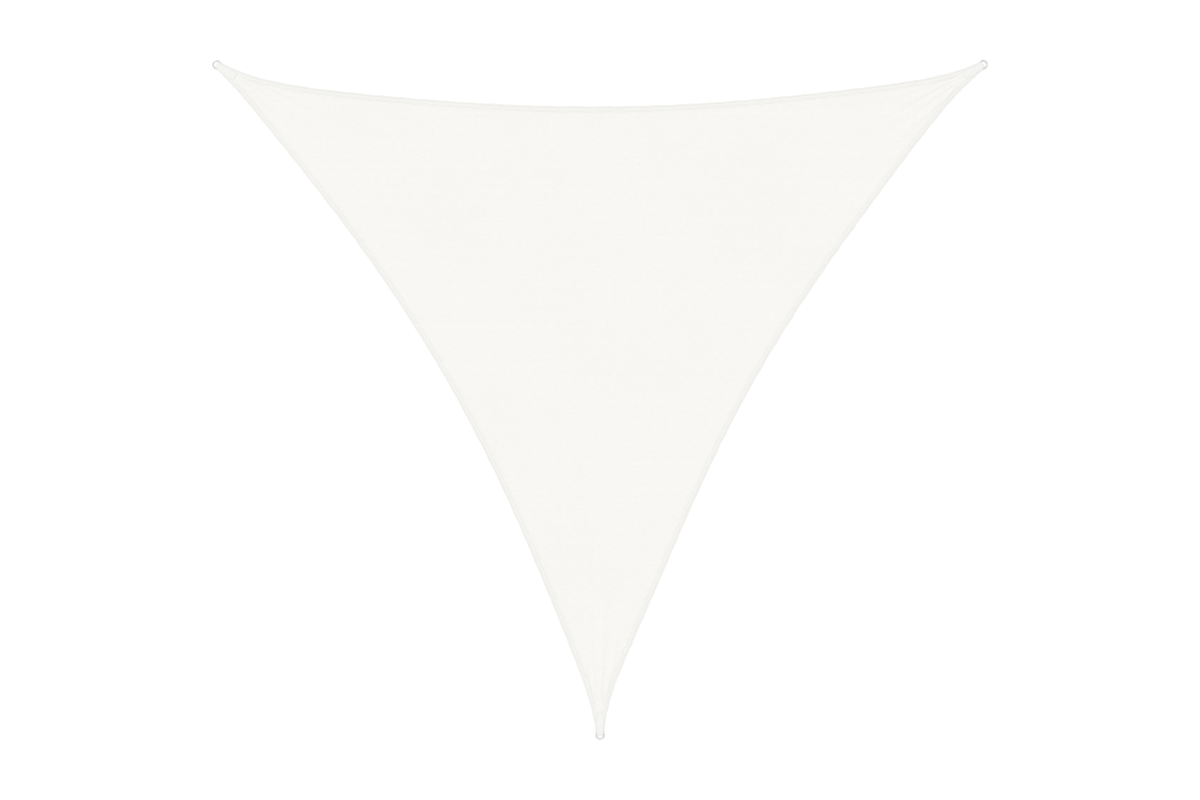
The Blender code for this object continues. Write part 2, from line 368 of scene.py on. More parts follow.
def bell(distance, width):
    """Return 1 on a line, falling to nothing a few widths away."""
    return np.exp(-(distance / width) ** 2)


def unit(vectors):
    """Return the vectors at unit length."""
    return vectors / np.linalg.norm(vectors, axis=-1, keepdims=True)


def beside_line(places, start, end):
    """Return how far along a straight line each place lies, as a share, and how far off it."""
    line = np.subtract(end, start)
    along = np.clip((places - start) @ line / (line @ line), 0, 1)
    return along, np.linalg.norm(places - start - along[..., None] * line, axis=-1)


def level_line(firsts, second):
    """Return points with the given first coordinates and all the same second one."""
    return np.column_stack([firsts, np.full(len(firsts), second)])


def read_corners():
    """Return the three corners, their eyes and directions, from the rings' mounts."""
    mounts = {mount["name"]: mount for mount in frame["record"]["mounts"]}
    corners = []
    for name in CORNER_NAMES:
        mount = mounts[f"ring_{name}"]
        inward = unit(np.array(mount["axis"][:2]))
        eye = np.array(mount["pos_m"][:2]) + inward * EYE_TO_BOW_FLAT
        corners.append(Corner(name, eye, inward, np.array([-inward[1], inward[0]])))
    return corners


CORNERS = read_corners()
CENTRE = sum(corner.eye for corner in CORNERS) / 3


def at_corner(corner, inward, across):
    """Return the places that lie so far inward and across from a corner's eye."""
    place = corner.eye + np.multiply.outer(inward, corner.inward)
    return place + np.multiply.outer(across, corner.across)


def add_object(name, data):
    """Put a new object into the scene."""
    added = bpy.data.objects.new(name, data)
    bpy.context.scene.collection.objects.link(added)
    return added


def make_piece(name, verts, faces, material, node=None, marks=None, weld=0.0):
    """Make a closed smooth mesh that rides on the sail and may stand for a solid's node.

    The marks are the mesh's own values, by name, that its material reads.  Vertices nearer to
    each other than weld are joined.
    """
    data = bpy.data.meshes.new(name)
    data.from_pydata(verts, [], faces)
    for mark_name, values in (marks or {}).items():
        kind, field = ("FLOAT", "value") if values.ndim == 1 else ("FLOAT_VECTOR", "vector")
        data.attributes.new(mark_name, kind, "POINT").data.foreach_set(field, values.ravel())
    mesh = bmesh.new()
    mesh.from_mesh(data)
    if weld:
        bmesh.ops.remove_doubles(mesh, verts=mesh.verts, dist=weld)
    bmesh.ops.recalc_face_normals(mesh, faces=mesh.faces)
    mesh.to_mesh(data)
    mesh.free()
    data.shade_smooth()
    data.materials.append(material)
    piece = add_object(name, data)
    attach(piece, "root")
    if node:
        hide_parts(node)
    return piece


def grid_faces(rows, columns, start=0, flip=False):
    """Return the quads of a grid whose vertices run row by row."""
    corner = start + np.arange(rows - 1)[:, None] * columns + np.arange(columns - 1)
    quads = np.stack([corner, corner + 1, corner + columns + 1, corner + columns], axis=-1)
    quads = quads.reshape(-1, 4)
    return quads[:, ::-1] if flip else quads


# ---------------------------------------------------------------- the cloth's shape


def tuck(depth, reach, distance):
    """Return how far a corner's tuck draws its edge in, at a distance from the corner."""
    share = distance / reach
    return depth * share * np.exp(1 - share)


def chord_of(index):
    """Return an edge's start and its chord, from one corner's blunt tip to the next one's."""
    start = at_corner(CORNERS[index], TIP_SETBACK, -TIP_HALF_WIDTH)
    return start, at_corner(CORNERS[(index + 1) % 3], TIP_SETBACK, TIP_HALF_WIDTH) - start


def chord_length(index):
    """Return the length of an edge's chord."""
    return np.linalg.norm(chord_of(index)[1])


def edge_point(index, along):
    """Return the points of an edge at shares of the way along its chord."""
    edge = EDGES[index]
    start, chord = chord_of(index)
    length = np.linalg.norm(chord)
    inward = np.array([-chord[1], chord[0]]) / length
    arch = 4 * along * (1 - along)
    depth = edge.sag * arch + edge.belly * arch ** 2
    depth = depth + tuck(edge.tuck_a, edge.reach_a, along * length)
    depth = depth + tuck(edge.tuck_b, edge.reach_b, (1 - along) * length)
    return start + along[:, None] * chord + depth[:, None] * inward


def edge_inward(index, along):
    """Return the unit directions square to an edge, into the cloth."""
    step = 0.001
    tangent = edge_point(index, along + step) - edge_point(index, along - step)
    return unit(np.stack([-tangent[:, 1], tangent[:, 0]], axis=1))


def middle_line(corner_index, share):
    """Return a patch's middle line, from the tip at share 0 to the cloth's centre at 1."""
    before = (corner_index - 1) % 3
    half = np.array([0.5])
    rims = edge_point(corner_index, share / 2) + edge_point(before, 1 - share / 2)
    far = edge_point(corner_index, half) + edge_point(before, 1 - half)
    return rims / 2 + (CENTRE - far / 2) * share[:, None] ** 2


def hem_places(index, along, offsets, room):
    """Return places in a hem at offsets from its rim, drawn closer where the tip has less room."""
    length = chord_length(index)
    run = along * length
    scale = np.minimum(1.0, HEM_SHARE_AT_TIP * room / HEM_COLUMNS[-1])
    drift = RIM_DRIFT * np.sin(run * RIM_DRIFT_RATE + index)
    wander = RIM_RIPPLE * np.sin(2 * math.pi * run / RIM_WAVE + drift)
    wander = wander * smooth_step(*RIM_REACH, np.minimum(run, length - run))
    shift = offsets * scale[:, None] + wander[:, None]
    rim = edge_point(index, along)[:, None]
    return rim + edge_inward(index, along)[:, None] * shift[..., None]


def half_patch(index, along, middle):
    """Return places, distances from the rim and room of half a patch, rim to middle line."""
    room = np.linalg.norm(middle - edge_point(index, along), axis=1)
    hem = hem_places(index, along, np.array([HEM_COLUMNS]), room)
    share = np.arange(1, FIELD_COLUMNS + 1) / FIELD_COLUMNS
    across = (middle - hem[:, -1])[:, None]
    field = hem[:, -1:] + across * share[None, :, None]
    places = np.concatenate([hem, field], axis=1)
    field_distance = HEM_COLUMNS[-1] + np.linalg.norm(field - hem[:, -1:], axis=2)
    hem_distance = np.repeat([HEM_COLUMNS], len(along), axis=0)
    distance = np.concatenate([hem_distance, field_distance], axis=1)
    return places, distance, np.repeat(room[:, None], distance.shape[1], axis=1)


def pucker_lift(index, run, distance, room):
    """Return how far the hem's puckers lift the cloth, by the run along an edge."""
    lift = np.zeros_like(run)
    for pucker in PUCKERS:
        drift = pucker.drift * np.sin(run * PUCKER_DRIFT_RATE + index)
        phase = pucker.phase + drift + index * PUCKER_EDGE_STEP
        lift += pucker.height * (1 + np.sin(2 * math.pi * run / pucker.wave + phase)) / 2
    reach = np.minimum(PUCKER_REACH, PUCKER_SHARE_OF_ROOM * room)
    inner = HEM_LINES[1].offset
    rise = PUCKER_AT_RIM + (1 - PUCKER_AT_RIM) * np.clip(distance / inner, 0, 1)
    fall = 1 - np.clip((distance - inner) / np.maximum(reach - inner, 0.001), 0, 1)
    return lift * rise * fall ** 2


def corner_share(distance):
    """Return 1 in a corner's sewn layers, falling to 0 in the open cloth, by the eye's distance."""
    return 1 - smooth_step(*CORNER_REACH, distance)


def pleat_lift(places):
    """Return how far the corners' gathers and strap ends lift the cloth."""
    lift = np.zeros(places.shape[:-1])
    for corner in CORNERS:
        offset = places - corner.eye
        distance = np.linalg.norm(offset, axis=-1)
        angle = np.degrees(np.arctan2(offset @ corner.across, offset @ corner.inward))
        lift += CORNER_UNDERSIDE * corner_share(distance)
        for bearing, half_width, height, start, peak, reach in PLEATS[corner.name]:
            turn = np.minimum(np.abs(angle - bearing) / half_width, 1)
            rise = smooth_step(start, peak, distance)
            fall = 1 - smooth_step(peak, reach, distance)
            lift += height * rise * fall * (1 + np.cos(math.pi * turn)) / 2
    return lift


def ridge(places, start, end, half_width):
    """Return 1 along the crest of a straight ridge, fading to its ends and sides."""
    along, aside = beside_line(places, start, end)
    return np.sin(math.pi * along) ** CREST_FULLNESS * bell(aside, half_width)


def ridges_lift(places):
    """Return how far the long soft rises and the short creases lift the cloth."""
    lift = np.zeros(places.shape[:-1])
    for *ends, half_width, height in SWELLS:
        lift += height * ridge(places, ends[:2], ends[2:], half_width)
    for corner in CORNERS:
        for near, near_across, far, far_across, half_width, height in CREASES[corner.name]:
            start = at_corner(corner, near, near_across)
            end = at_corner(corner, far, far_across)
            lift += height * ridge(places, start, end, half_width)
    return lift


def cloth_surfaces(index, places, distance, run, room, tip):
    """Return the underside and the upper side of the cloth at each place."""
    sail = bpy.context.scene.sail_cloth
    eyes = [np.linalg.norm(places - corner.eye, axis=-1) for corner in CORNERS]
    layered = corner_share(np.min(eyes, axis=0))
    low = pleat_lift(places) + ridges_lift(places)
    low = low + pucker_lift(index, run, distance, room) * (1 - layered)
    hem_share = 1 - smooth_step(*HEM_STEP, distance)
    thickness = sail.field_thickness + (sail.hem_thickness - sail.field_thickness) * hem_share
    for line in HEM_LINES:
        thickness = thickness - line.depth * bell(distance - line.offset, line.half_width)
    thickness = thickness + (CORNER_THICKNESS - thickness) * layered
    half = thickness / 2
    inset = np.clip(np.minimum(distance, tip) / half, 0, 1)
    round_half = half * np.sqrt(1 - (1 - inset) ** 2)
    sunk = sum(bell(distance - line.offset, UNDER_LINE_HALF_WIDTH) for line in HEM_LINES)
    groove = UNDER_LINE_DEPTH * sunk * inset
    return low + half - round_half + groove, low + half + round_half


def patch_grid(corner_index):
    """Return one corner's patch: places, heights and the marks its material reads."""
    before = (corner_index - 1) % 3
    chord = chord_length(corner_index)
    spread = np.linspace(0, 1, ROWS)
    first = 2 * FIRST_ROW / chord
    spread = first + (1 - first) * spread * (ROW_CROWDING + (1 - ROW_CROWDING) * spread ** 2)
    share = np.concatenate([np.array(TIP_ROWS) * 2 / chord, spread])
    middle = middle_line(corner_index, share)
    parts = []
    for index, along in ((corner_index, share / 2), (before, 1 - share / 2)):
        places, distance, room = half_patch(index, along, middle)
        columns = distance.shape[1]
        run = np.repeat(along[:, None] * chord_length(index), columns, axis=1)
        tip = np.repeat((share / 2 * chord)[:, None], columns, axis=1)
        low, high = cloth_surfaces(index, places, distance, run, room, tip)
        parts.append(np.dstack([places, low, high, distance, run]))
    return np.concatenate([parts[0], parts[1][:, -2::-1]], axis=1)


def cloth_piece(material):
    """Make the cloth as one closed skin, its upper and under sides joined round the rim."""
    verts = []
    faces = []
    marks = []
    count = 0
    for corner_index in range(3):
        grid = patch_grid(corner_index)
        rows, columns = grid.shape[:2]
        flat = grid.reshape(-1, 6)
        for height, flip in ((3, True), (2, False)):
            verts.append(flat[:, [0, 1, height]])
            marks.append(flat[:, 4:6])
            faces.append(grid_faces(rows, columns, count, flip))
            count += rows * columns
    distance, run = np.concatenate(marks).T
    return make_piece("knitted_cloth", np.concatenate(verts), np.concatenate(faces).tolist(),
                      material, "sail_cloth",
                      {"hem_distance": distance, "hem_run": run}, CLOTH_WELD)


# ---------------------------------------------------------------- thread

# One stitch: place along it, rise and girth, each as a share of its length or thread width
STITCH_RINGS = ((-0.36, 0.10, 0.40), (0.0, 0.38, 0.50), (0.36, 0.10, 0.40))
STITCH_TIPS = ((-0.5, -0.5), (0.5, -0.5))
STITCH_SIDES = 6

# The share of a hem left bare at each end, the room left beside a tail of webbing, and a box
# stitch's length and height, as shares of its pitch and of the thread's width
HEM_BARE_END = 0.002
TAIL_ROOM = 0.001
BOX_STITCH_LENGTH = 0.86
BOX_STITCH_BED = 0.1


def stitch_template(length, width):
    """Return the vertices and faces of one stitch that lies along x on a flat surface."""
    verts = [(x * length, 0.0, z * width) for x, z in STITCH_TIPS]
    for x, rise, girth in STITCH_RINGS:
        for side in range(STITCH_SIDES):
            turn = 2 * math.pi * side / STITCH_SIDES
            y = girth * width * math.cos(turn)
            z = rise * width + girth * width * math.sin(turn)
            verts.append((x * length, y, z))
    faces = []
    last = 2 + (len(STITCH_RINGS) - 1) * STITCH_SIDES
    for side in range(STITCH_SIDES):
        following = (side + 1) % STITCH_SIDES
        faces.append((0, 2 + following, 2 + side))
        faces.append((1, last + side, last + following))
        for near in range(2, last, STITCH_SIDES):
            far = near + STITCH_SIDES
            faces.append((near + side, near + following, far + following, far + side))
    return np.array(verts), faces


def bedded(depth):
    """Return the factor that lays a stitch upside down and flat in a groove of a depth."""
    rise, girth = STITCH_RINGS[1][1:]
    return -depth / ((rise + girth) * bpy.context.scene.sail_thread.width)


def stitches_piece(name, rows, length, material):
    """Make rows of stitches as one mesh: their centres, directions and how high they stand."""
    template, template_faces = stitch_template(length, bpy.context.scene.sail_thread.width)
    centres = np.concatenate([centre for centre, direction, rise in rows])
    along = unit(np.concatenate([direction for centre, direction, rise in rows]))
    rises = np.concatenate([np.full((len(centre), 1), rise) for centre, direction, rise in rows])
    side = unit(np.cross([0.0, 0.0, 1.0], along))
    up = np.cross(along, side) * rises
    verts = centres[:, None] + template[None, :, 0:1] * along[:, None]
    verts = verts + template[None, :, 1:2] * side[:, None] + template[None, :, 2:3] * up[:, None]
    faces = []
    for start in range(0, len(centres) * len(template), len(template)):
        faces += [tuple(start + corner for corner in face) for face in template_faces]
    return make_piece(name, verts.reshape(-1, 3), faces, material)


def hem_line_points(index, along, offset):
    """Return points on the cloth's two faces along a hem, at an offset from its rim."""
    nearer = np.minimum(along, 1 - along)
    middle = np.where((along < 0.5)[:, None], middle_line(index, nearer * 2),
                      middle_line((index + 1) % 3, nearer * 2))
    room = np.linalg.norm(middle - edge_point(index, along), axis=1)
    places = hem_places(index, along, np.array([[offset]]), room)[:, 0]
    length = chord_length(index)
    distance = np.full(len(along), offset)
    low, high = cloth_surfaces(index, places, distance, along * length, room, nearer * length)
    return np.column_stack([places, low]), np.column_stack([places, high])


def under_strap(points):
    """Tell which points lie under a webbing tail."""
    covered = np.zeros(len(points), bool)
    half_width = bpy.context.scene.sail_webbing.width / 2 + TAIL_ROOM
    for corner in CORNERS:
        offset = points[:, :2] - corner.eye
        beside = np.abs(offset @ corner.across) < half_width
        covered |= beside & (offset @ corner.inward < STRAP_REACH + STRAP_TAIL)
    return covered


def hem_stitches(index, material):
    """Sew both rows of one hem, as they show on its two faces."""
    thread = bpy.context.scene.sail_thread
    count = int(chord_length(index) / thread.pitch)
    rows = []
    for number, line in enumerate(HEM_LINES):
        ends = (np.arange(count + 1) + 0.5 * number) / (count + 1)
        ends = ends[(ends > HEM_BARE_END) & (ends < 1 - HEM_BARE_END)]
        faces = hem_line_points(index, ends, line.offset)
        for points, rise in zip(faces, (bedded(UNDER_LINE_DEPTH), 1.0)):
            centre = (points[1:] + points[:-1]) / 2
            shown = ~under_strap(centre)
            rows.append((centre[shown], (points[1:] - points[:-1])[shown], rise))
    return stitches_piece(f"hem_stitches_{EDGES[index].name}", rows, thread.length, material)


# ---------------------------------------------------------------- webbing


def strap_line():
    """Return the strap's middle line in the upright plane, as (inward, up) from the leg."""
    tail = np.arange(STRAP_TAIL, STRAP_EASE, -STRAP_STEP)
    short = np.arange(STRAP_EASE, 0, -STRAP_STEP)
    turn = np.linspace(0, math.pi, WRAP_POINTS)
    wrap = np.column_stack([-WRAP_RADIUS * np.sin(turn), LEG_HEIGHT - WRAP_RADIUS * np.cos(turn)])
    share = np.linspace(0, 1, EASE_POINTS)[1:]
    top = LEG_HEIGHT + WRAP_RADIUS
    height = top + (TAIL_LEVEL - top) * smooth_step(0, 1, share)
    return np.concatenate([
        level_line(np.concatenate([tail, short]), STRAP_THICKNESS / 2),
        wrap,
        np.column_stack([STRAP_EASE * share, height]),
        level_line(tail[::-1], TAIL_LEVEL),
    ])


def box_lines():
    """Return the sewn lines of a tail, each as two ends in (inward from the leg, across)."""
    corners = [
        (BOX_NEAR, -BOX_HALF_WIDTH), (BOX_FAR, -BOX_HALF_WIDTH),
        (BOX_FAR, BOX_HALF_WIDTH), (BOX_NEAR, BOX_HALF_WIDTH),
    ]
    sides = [(corners[i], corners[(i + 1) % 4]) for i in range(4)]
    return sides + [(corners[0], corners[2]), (corners[1], corners[3])]


def strap_piece(corner, material):
    """Make one webbing loop with its weave, rounded selvedges and sewn-down lines."""
    webbing = bpy.context.scene.sail_webbing
    line = strap_line()
    along = np.gradient(line, axis=0)
    outward = unit(np.column_stack([-along[:, 1], along[:, 0]]))
    run = np.concatenate([[0], np.cumsum(np.linalg.norm(np.diff(line, axis=0), axis=1))])
    crowd = math.pi / 2 * COLUMN_CROWDING
    side = np.sin(np.linspace(-1, 1, STRAP_COLUMNS) * crowd) / math.sin(crowd)
    across = side * webbing.width / 2
    to_end = np.minimum(run, run[-1] - run)
    ends = np.sqrt(1 - (1 - np.clip(to_end / STRAP_THICKNESS, 0, 1)) ** 2)
    selvedge = np.sqrt(1 - np.abs(side) ** SELVEDGE_SQUARENESS)
    half = STRAP_THICKNESS / 2 * ends[:, None] * selvedge[None, :]
    rib = np.floor(across / webbing.rib)
    ribs = np.abs(np.sin(math.pi * across / webbing.rib))
    picks = 0.5 + 0.5 * np.sin(2 * math.pi * run[:, None] / webbing.pick + math.pi * rib[None, :])
    weave = webbing.relief * ribs[None, :] * (HOLLOW_OF_WEAVE + (1 - HOLLOW_OF_WEAVE) * picks)
    inward = np.repeat(line[:, 0:1], STRAP_COLUMNS, axis=1)
    level = np.repeat(line[:, 1:2], STRAP_COLUMNS, axis=1)
    own = np.stack([inward, np.repeat(across[None], len(line), axis=0)], axis=-1)
    to_sewing = np.min([beside_line(own, *seam)[1] for seam in box_lines()], axis=0)
    dent_above = BOX_LINE_DEPTH * bell(to_sewing, BOX_LINE_WIDTH)
    verts = []
    own_places = []
    # The sewn lines sink into the outer faces of both tails
    for sign, dent in ((1.0, dent_above), (-1.0, 0.0)):
        shift = sign * np.maximum(half - dent - webbing.relief + weave, 0.0)
        reach = STRAP_REACH + inward + outward[:, 0:1] * shift
        height = level + outward[:, 1:2] * shift
        verts.append(np.dstack([at_corner(corner, reach, across), height]).reshape(-1, 3))
        own_places.append(np.dstack([reach, reach * 0 + across, height]).reshape(-1, 3))
    count = len(line) * STRAP_COLUMNS
    faces = [grid_faces(len(line), STRAP_COLUMNS),
             grid_faces(len(line), STRAP_COLUMNS, count, flip=True)]
    piece = make_piece(f"webbing_loop_{corner.name}", np.concatenate(verts),
                       np.concatenate(faces).tolist(), material,
                       f"webbing_{corner.name}", {"strap_place": np.concatenate(own_places)},
                       STRAP_WELD)
    return piece, float(run[-1])


def strap_stitches(corner, material):
    """Sew the box and cross, as they show on the outer faces of both tails."""
    thread = bpy.context.scene.sail_thread
    rows = []
    top = TAIL_LEVEL + STRAP_THICKNESS / 2 - BOX_LINE_DEPTH + thread.width * BOX_STITCH_BED
    for start, end in box_lines():
        line = np.subtract(end, start)
        count = int(np.linalg.norm(line) / thread.box_pitch)
        share = (np.arange(count) + 0.5) / count
        own = start + share[:, None] * line
        places = at_corner(corner, STRAP_REACH + own[:, 0], own[:, 1])
        direction = line[0] * corner.inward + line[1] * corner.across
        directions = np.tile([*direction, 0.0], (count, 1))
        for level, rise in ((top, 1.0), (BOX_LINE_DEPTH, bedded(BOX_LINE_DEPTH))):
            rows.append((np.column_stack([places, np.full(count, level)]), directions, rise))
    return stitches_piece(f"box_stitches_{corner.name}", rows,
                          thread.box_pitch * BOX_STITCH_LENGTH, material)


# ---------------------------------------------------------------- rings


def bow_point(turn):
    """Return points of the bow's wire line at turns round it from one arm to the other."""
    side = RING_INNER_WIDTH / 2 + WIRE_RADIUS
    centre = RING_INNER_WIDTH / 2 - RING_INNER_HEIGHT / 2
    return np.stack([centre - side * np.sin(turn), side * np.cos(turn)], axis=-1)


def ring_line(bow_steps):
    """Return the ring's wire line in its own plane: x toward the leg, y across it."""
    side = RING_INNER_WIDTH / 2 + WIRE_RADIUS
    turn = np.linspace(0, math.pi / 2, BEND_POINTS)
    bend = np.column_stack([
        STRAP_REACH - RING_BEND_RADIUS * (1 - np.cos(turn)),
        side - RING_BEND_RADIUS * (1 - np.sin(turn)),
    ])
    leg = side - RING_BEND_RADIUS
    leg_line = level_line(np.linspace(-leg, leg, LEG_POINTS)[1:-1], STRAP_REACH)[:, ::-1]
    bow = bow_point(np.linspace(0, math.pi, bow_steps + 1))
    arm_line = level_line(np.linspace(bend[-1, 0], bow[0, 0], ARM_POINTS)[1:-1], side)
    mirror = np.array([1, -1])
    return np.concatenate([
        leg_line, bend, arm_line, bow, arm_line[::-1] * mirror, bend[::-1] * mirror,
    ])


def ring_pose(corner):
    """Return a ring's rotation and the middle of its eye.

    The ring leans from its bow, which lies on the ground, up to its leg in the strap.
    """
    bow_height = WIRE_RADIUS * math.cos(math.pi / WIRE_SIDES_OF_SOLID)
    lean = math.asin((LEG_HEIGHT - bow_height) / (2 * STRAP_REACH))
    axes = Matrix(((*corner.inward, 0.0), (*corner.across, 0.0), (0.0, 0.0, 1.0))).transposed()
    middle = np.array([*corner.eye, (LEG_HEIGHT - bow_height) / 2 + WIRE_RADIUS])
    return np.array(axes @ Matrix.Rotation(-lean, 3, "Y")), middle


def ring_piece(corner, material):
    """Make one D-ring of round wire with the bead of its weld on the bow."""
    ring = bpy.context.scene.sail_ring
    line = ring_line(ring.bow_steps)
    ahead = np.roll(line, -1, axis=0) - np.roll(line, 1, axis=0)
    aside = unit(np.column_stack([ahead[:, 1], -ahead[:, 0]]))
    turn = 2 * math.pi * np.arange(ring.sides) / ring.sides
    to_weld = np.linalg.norm(line - bow_point(WELD_TURN), axis=1)
    lumps = 1 - WELD_LUMP_DEPTH + WELD_LUMP_DEPTH * np.cos(turn * WELD_LUMPS + WELD_LUMP_START)
    bead = ring.weld_rise * bell(to_weld, WELD_HALF_LENGTH)
    radius = WIRE_RADIUS + bead[:, None] * lumps[None, :]
    flat = line[:, None] + aside[:, None] * (radius * np.cos(turn))[..., None]
    own = np.dstack([flat, radius * np.sin(turn)]).reshape(-1, 3)
    here = np.arange(len(own)).reshape(radius.shape)
    right = np.roll(here, -1, axis=1)
    faces = np.stack([here, right, np.roll(right, -1, axis=0), np.roll(here, -1, axis=0)], axis=-1)
    rotation, middle = ring_pose(corner)
    return make_piece(f"wire_ring_{corner.name}", own @ rotation.T + middle,
                      faces.reshape(-1, 4).tolist(), material, f"d_ring_{corner.name}")


# ---------------------------------------------------------------- materials

# From one pull of the hem's stitches to the next
PULL_WAVE = 0.0092


def put(socket, value):
    """Link a socket to another or set its value."""
    if isinstance(value, bpy.types.NodeSocket):
        socket.id_data.links.new(value, socket)
    else:
        socket.default_value = value


def set_inputs(node, **inputs):
    """Link or set a node's inputs by name, spaces written as _."""
    for name, value in inputs.items():
        put(node.inputs[name.replace("_", " ")], value)
    return node


def add_node(tree, kind, settings=(), **inputs):
    """Add a shader node, with settings as pairs and inputs by name."""
    node = tree.nodes.new("ShaderNode" + kind)
    for name, value in settings:
        setattr(node, name, value)
    return set_inputs(node, **inputs)


def compute(tree, operation, *values):
    """Add a Math node and return its result."""
    node = add_node(tree, "Math", [("operation", operation)])
    for socket, value in zip(node.inputs, values):
        put(socket, value)
    return node.outputs[0]


def product(tree, result, *others):
    """Multiply several values."""
    for other in others:
        result = compute(tree, "MULTIPLY", result, other)
    return result


def humps(tree, value):
    """Return a row of round humps from 0 to 1, one for each whole step of a value."""
    return compute(tree, "ABSOLUTE", compute(tree, "SINE", product(tree, value, math.pi)))


def vary(tree, value, low, high, new_low, new_high):
    """Map a value from one range to another, clamped."""
    return add_node(tree, "MapRange", Value=value, From_Min=low, From_Max=high,
                    To_Min=new_low, To_Max=new_high).outputs["Result"]


def blend_colours(tree, factor, first, second, kind="MIX"):
    """Mix two colours and return the result."""
    node = add_node(tree, "Mix", [("data_type", "RGBA"), ("blend_type", kind)])
    for number, value in ((0, factor), (6, first), (7, second)):
        put(node.inputs[number], value)
    return node.outputs[2]


def shaded(tree, colour, shade):
    """Return a colour times a grey of a shade."""
    grey = add_node(tree, "CombineColor", Red=shade, Green=shade, Blue=shade).outputs[0]
    return blend_colours(tree, 1.0, colour, grey, "MULTIPLY")


def bumped(tree, height, distance, strength):
    """Return the normals of a surface that a height raises."""
    return add_node(tree, "Bump", Height=height, Distance=distance, Strength=strength).outputs[0]


def start_group(name, inputs, outputs):
    """Start a node group and return it with its inputs and its last node.

    Its inputs are a vector and the named values, and its outputs are values.
    """
    group = bpy.data.node_groups.new(name, "ShaderNodeTree")
    new_socket = group.interface.new_socket
    new_socket("Vector", in_out="INPUT", socket_type="NodeSocketVector")
    for socket_name, value in inputs.items():
        socket = new_socket(socket_name, in_out="INPUT", socket_type="NodeSocketFloat")
        socket.default_value = value
    for socket_name in outputs:
        new_socket(socket_name, in_out="OUTPUT", socket_type="NodeSocketFloat")
    return group, group.nodes.new("NodeGroupInput").outputs, group.nodes.new("NodeGroupOutput")


def knit_group():
    """Return the knit: upright chains of loops, with slanting threads laid in between them."""
    group, start, end = start_group("knit", {"Wale": 0.003, "Course": 0.002}, ("Height", "Gap"))
    place = add_node(group, "SeparateXYZ", Vector=start["Vector"]).outputs
    wale = compute(group, "DIVIDE", place["X"], start["Wale"])
    course = compute(group, "DIVIDE", place["Y"], start["Course"])
    aside = compute(group, "SUBTRACT", compute(group, "FRACT", wale), 0.5)
    aside = compute(group, "ABSOLUTE", aside)
    loop = humps(group, compute(group, "MULTIPLY_ADD", aside, 1.5, course))
    slant = compute(group, "PINGPONG", compute(group, "ADD", wale, 0.5), 1.0)
    laid = humps(group, compute(group, "ADD", course, product(group, slant, 0.8)))
    chain = product(group, vary(group, aside, 0.10, 0.24, 1.0, 0.0),
                    compute(group, "MULTIPLY_ADD", loop, 0.45, 0.55))
    laid_height = product(group, compute(group, "POWER", laid, 0.6), 0.6)
    height = compute(group, "MAXIMUM", chain, laid_height)
    set_inputs(end, Height=height, Gap=vary(group, height, 0.12, 0.42, 1.0, 0.0))
    return group


def mottle_group():
    """Return a slow uneven tone: a noise mapped to a factor near one."""
    group, start, end = start_group("mottle", {"Scale": 2.0, "Depth": 0.02}, ("Tone",))
    noise = add_node(group, "TexNoise", Vector=start["Vector"], Scale=start["Scale"],
                     Detail=4.0, Roughness=0.6)
    low = compute(group, "SUBTRACT", 1.0, start["Depth"])
    high = compute(group, "ADD", 1.0, start["Depth"])
    set_inputs(end, Tone=vary(group, noise.outputs[0], 0.3, 0.7, low, high))
    return group


GROUP_MAKERS = {"knit": knit_group, "mottle": mottle_group}


def use_group(tree, name, **inputs):
    """Place an effect that materials share, a node group built at its first use."""
    group = bpy.data.node_groups.get(name) or GROUP_MAKERS[name]()
    return add_node(tree, "Group", [("node_tree", group)], **inputs).outputs


def mottled(tree, place, scale, depth):
    """Return a tone near one that varies over a place."""
    return use_group(tree, "mottle", Vector=place, Scale=scale, Depth=depth)["Tone"]


def new_material(name):
    """Return a new material, its node tree and its shader."""
    material = bpy.data.materials.new(name)
    material.use_nodes = True
    tree = material.node_tree
    return material, tree, tree.nodes["Principled BSDF"]


def own_place(tree):
    """Return places in a piece's own frame."""
    return add_node(tree, "TexCoord").outputs["Object"]


def mark(tree, name, output="Fac"):
    """Read one of a mesh's own marks."""
    return add_node(tree, "Attribute", [("attribute_name", name)]).outputs[output]


def stretched(tree, vector, scale):
    """Return a vector scaled by axis."""
    node = add_node(tree, "VectorMath", [("operation", "MULTIPLY")])
    put(node.inputs[0], vector)
    put(node.inputs[1], scale)
    return node.outputs[0]


